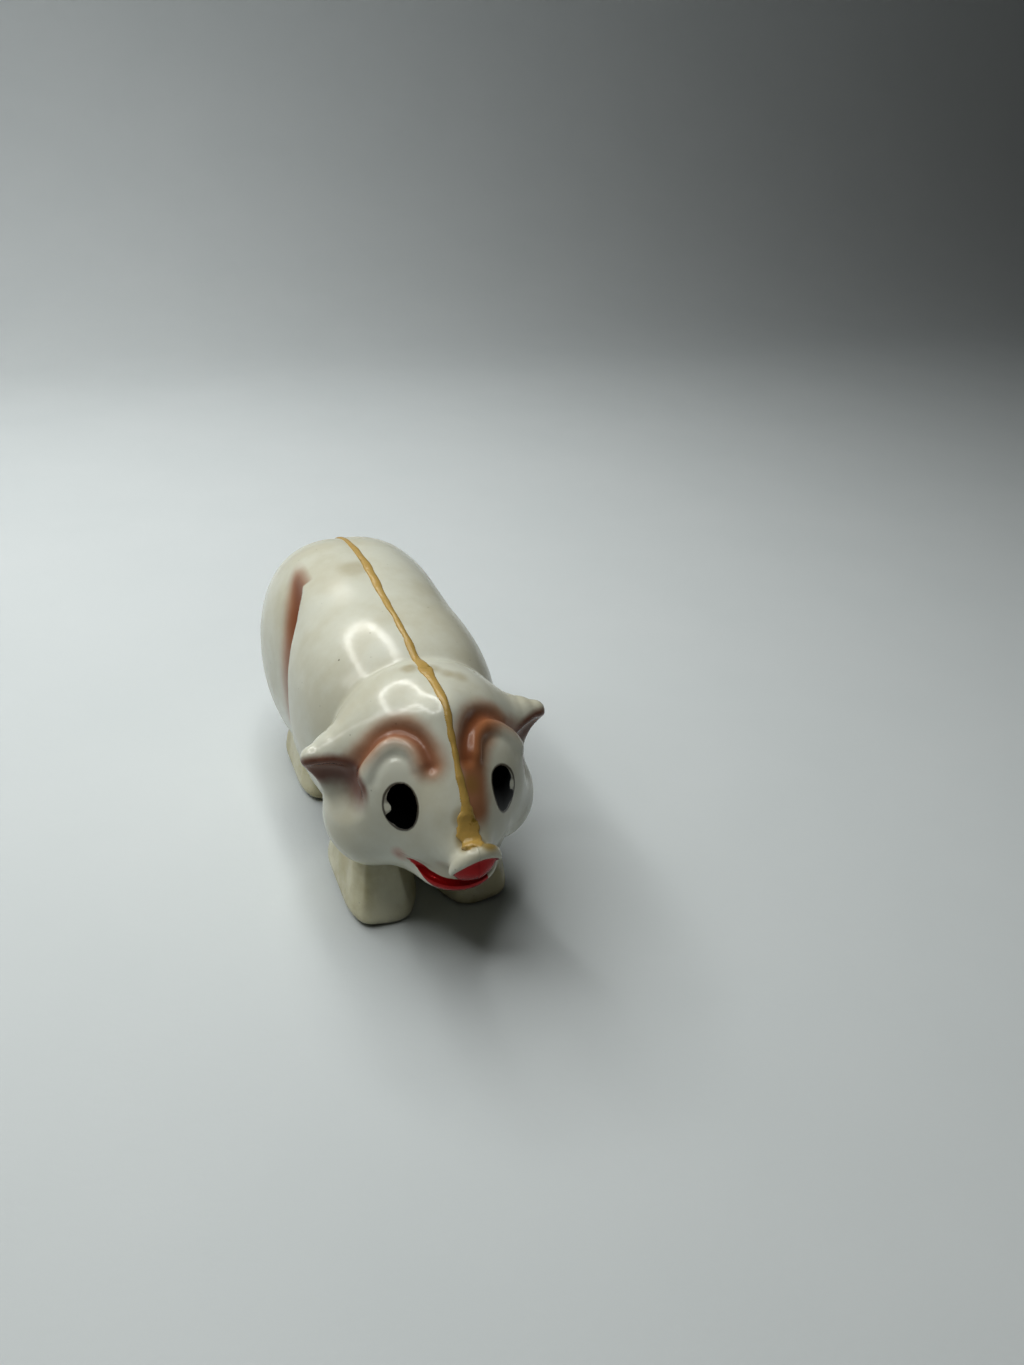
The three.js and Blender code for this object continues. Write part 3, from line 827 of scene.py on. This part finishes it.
def cement_material():
    n = Nodes("aged_cement")
    patch = n.noise(160, 5, 0.65)
    colour = n.mix(n.fade(patch, 0.6, 0.4), MUSTARD, MUSTARD_DARK)
    colour = n.mix(n.fade(n.noise(330, 4), 0.4, 0.3), colour, MUSTARD_PALE)
    roughness = n.math("ADD", 0.12, n.math("MULTIPLY", patch, 0.22))
    surface = n.bump(n.noise(700, 5, 0.65), 0.00022, 0.7)
    return n.finish(Base_Color=colour, Roughness=roughness, Normal=surface, IOR=1.5, Subsurface_Weight=0.12,
                    Subsurface_Radius=(1.0, 0.6, 0.2), Subsurface_Scale=0.0006)


def steel_material():
    n = Nodes("pin_steel")
    drawn = n.add("ShaderNodeMapping", Vector=n.place, Scale=(20.0, 900.0, 900.0)).outputs["Vector"]
    streak = n.noise(8, 4, place=drawn)
    colour = n.mix(n.fade(streak, 0.65, 0.35), linear(150, 152, 154), linear(104, 100, 96))
    surface = n.bump(streak, 0.00002, 0.5)
    return n.finish(Base_Color=colour, Roughness=n.math("ADD", 0.28, n.math("MULTIPLY", streak, 0.2)),
                    Normal=surface, Metallic=1.0)


# ---------------------------------------------------------------- stage
CAMERA_PLACE = (-0.0358, -0.12577, 0.10071)
CAMERA_TURN = math.radians(23.847)    # from +Y towards +X
CAMERA_DIP = math.radians(29.925)
CAMERA_ROLL = math.radians(3.3)
CAMERA_LENS = 27.03
FLOOR_HALF_WIDTH = 1.0
SWEEP_START = 0.3                 # where the sheet leaves the floor
SWEEP_RADIUS = 0.2
SWEEP_STEPS = 16
WALL_TOP = 0.9
RING_CENTRE = (-0.075, 0.095, 0.3)
RING_HALF_SIZE = (0.105, 0.2)
RING_POWER = 3.0                  # 2 is an ellipse, more is squarer
RING_WIDTH = 0.032
RING_LAMPS = 16
RING_POWER_PER_METRE = 0.85
PANEL_POWER = 0.36
WORLD_STRENGTH = 0.034
WALL_LIGHT_POWER = 1.15


def build_camera():
    data = bpy.data.cameras.new("camera")
    data.lens = CAMERA_LENS
    data.sensor_width = 36
    data.clip_start = 0.005
    camera = bpy.data.objects.new("camera", data)
    turn = Matrix.Rotation(-CAMERA_TURN, 4, "Z") @ Matrix.Rotation(math.pi / 2 - CAMERA_DIP, 4, "X")
    camera.matrix_world = Matrix.Translation(CAMERA_PLACE) @ turn @ Matrix.Rotation(CAMERA_ROLL, 4, "Z")
    bpy.context.scene.collection.objects.link(camera)
    bpy.context.scene.camera = camera


def build_floor():
    """A pale sheet that lies flat under the toy and sweeps up behind it."""
    profile = [(-FLOOR_HALF_WIDTH, 0.0)]
    for k in range(SWEEP_STEPS + 1):
        turn = math.pi / 2 * k / SWEEP_STEPS
        profile.append((SWEEP_START + SWEEP_RADIUS * math.sin(turn), SWEEP_RADIUS * (1 - math.cos(turn))))
    profile.append((SWEEP_START + SWEEP_RADIUS, WALL_TOP))
    mesh = bpy.data.meshes.new("floor")
    bm = bmesh.new()
    rows = [[bm.verts.new((side * FLOOR_HALF_WIDTH, y, z)) for side in (-1, 1)] for y, z in profile]
    for near, far in zip(rows, rows[1:]):
        bm.faces.new((near[0], near[1], far[1], far[0])).smooth = True
    bm.to_mesh(mesh)
    bm.free()
    floor = bpy.data.objects.new("floor", mesh)
    bpy.context.scene.collection.objects.link(floor)
    n = Nodes("pale_floor")
    tone = n.mix(n.noise(30, 3), linear(200, 206, 207), linear(206, 211, 212))
    grain = n.bump(n.noise(900, 3), 0.00006, 0.4)
    mesh.materials.append(n.finish(Base_Color=tone, Roughness=0.75, Normal=grain))


def area_light(name, place, aim, size, power, tint=(1, 1, 1), along=None):
    """A rectangular lamp facing aim; along is the direction of its first side."""
    data = bpy.data.lights.new(name, "AREA")
    data.shape = "RECTANGLE"
    data.size, data.size_y = size
    data.energy = power
    data.color = tint
    light = bpy.data.objects.new(name, data)
    back = (Vector(place) - Vector(aim)).normalized()
    first = Vector(along) if along else Vector((1, 0, 0))
    first = (first - back * first.dot(back)).normalized()
    second = back.cross(first)
    light.matrix_world = Matrix.Translation(place) @ Matrix((first, second, back)).transposed().to_4x4()
    bpy.context.scene.collection.objects.link(light)


def ring_place(turn):
    """A point of the overhead lamp's rounded rectangular outline."""
    across, ahead = math.cos(turn), math.sin(turn)
    size = (abs(across) ** RING_POWER + abs(ahead) ** RING_POWER) ** (-1 / RING_POWER)
    return Vector((RING_CENTRE[0] + RING_HALF_SIZE[0] * across * size,
                   RING_CENTRE[1] + RING_HALF_SIZE[1] * ahead * size, RING_CENTRE[2]))


def build_lights():
    world = bpy.data.worlds.new("studio")
    world.use_nodes = True
    world.node_tree.nodes["Background"].inputs["Color"].default_value = (1.0, 0.97, 0.9, 1)
    world.node_tree.nodes["Background"].inputs["Strength"].default_value = WORLD_STRENGTH
    bpy.context.scene.world = world
    for k in range(RING_LAMPS):
        start, end = (ring_place(2 * math.pi * (k + step) / RING_LAMPS) for step in (0, 1))
        middle = (start + end) / 2
        length = (end - start).length
        area_light(f"ring_{k}", middle, (middle.x * 0.3, middle.y * 0.3, 0), (length, RING_WIDTH),
                   RING_POWER_PER_METRE * length, (1, 1, 0.98), end - start)
    panel_size = [1.8 * half for half in RING_HALF_SIZE]
    area_light("panel", RING_CENTRE, (0, 0, 0), panel_size, PANEL_POWER, (1, 1, 0.98))
    area_light("wall_wash", (-0.35, 0.12, 0.4), (-0.1, 0.5, 0.34), (0.3, 0.3), WALL_LIGHT_POWER)


# ---------------------------------------------------------------- assembly
def wear(piece, material):
    piece.data.materials.clear()
    piece.data.materials.append(material)


bpy.context.scene.view_settings.view_transform = "Standard"
bpy.context.scene.view_settings.gamma = 0.85
build_camera()
build_floor()
build_lights()

plastic = shell_material()
milky = leg_material()
for side_name, side in (("left", 1), ("right", -1)):
    piece = build_half(f"{side_name}_shell", side)
    wear(piece, plastic)
    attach(piece, "body")
    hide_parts(f"body_{side_name}_half")

cement = build_bead()
wear(cement, cement_material())
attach(cement, "body")
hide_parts("seam_cement")

for place, axle_y in AXLE_Y.items():
    for side, piece in zip(("left", "right"), build_leg(place, axle_y)):
        wear(piece, milky)
        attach(piece, f"{place}_{side}_leg")
        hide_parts(f"leg_{place}_{side}")

steel = steel_material()
for node_name in ("front_axle", "rear_axle"):
    pin = frame["nodes"][node_name]
    pin.data.materials.clear()
    pin.data.materials.append(steel)
